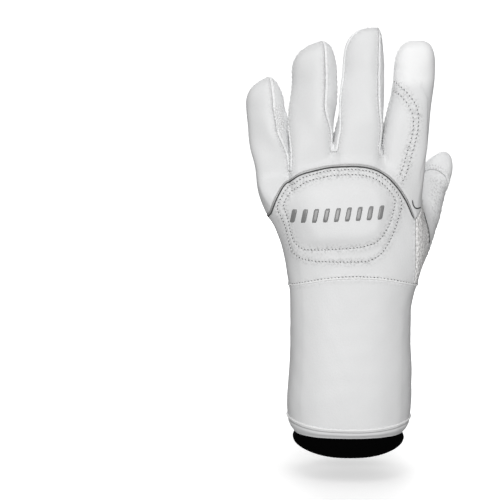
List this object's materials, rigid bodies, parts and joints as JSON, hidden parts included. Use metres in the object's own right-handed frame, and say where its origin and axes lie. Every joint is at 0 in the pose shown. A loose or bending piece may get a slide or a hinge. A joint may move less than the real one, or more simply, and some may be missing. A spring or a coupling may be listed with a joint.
{
  "type": "winter glove",
  "caption": "Left-hand padded winter glove of white leather with a gauntlet cuff, piped knuckle arch, ribbed palm grips and a black fleece inner cuff.",
  "frame": {"origin": "centre of the cuff's mouth, where the hand goes in, 2 mm inside the fleece's rolled edge", "axes": "+Z from the cuff to the fingertips, -Y out of the back of the hand, +X towards the thumb"},
  "size_m": [0.1433, 0.0865, 0.284],
  "materials": {
    "white_leather": "fine-grained white leather with a soft sheen",
    "side_leather": "white leather, a little duller, between the fingers",
    "grey_suede": "pale grey suede",
    "gusset_fabric": "coarse off-white stretch fabric",
    "reflective": "grey retroreflective film, satin",
    "white_welt": "corded white leather",
    "grip": "grey ribbed silicone-coated leather, matt",
    "black_fleece": "black knitted fleece"
  },
  "bodies": {
    "root": {"finger_backs": "white_leather", "index_wrap": "white_leather", "back_panel": "white_leather", "cuff": "white_leather", "hem_band": "white_leather", "thumb_back": "white_leather", "thumb_cap": "white_leather", "palm_panel": "grey_suede", "thumb_palm": "grey_suede", "thumb_gusset": "gusset_fabric", "side_walls_little_ring": "side_leather", "side_walls_ring_middle": "side_leather", "side_walls_middle_index": "side_leather", "arch_piping": "reflective", "wrist_welt": "white_welt", "hem_welt": "white_welt", "thenar_pad": "grip", "heel_pad": "grip", "inner_cuff": "black_fleece", "reflective_bar_1": "reflective", "reflective_bar_2": "reflective", "reflective_bar_3": "reflective", "reflective_bar_4": "reflective", "reflective_bar_5": "reflective", "reflective_bar_6": "reflective", "reflective_bar_7": "reflective", "reflective_bar_8": "reflective", "reflective_bar_9": "reflective"}
  },
  "joints": []
}
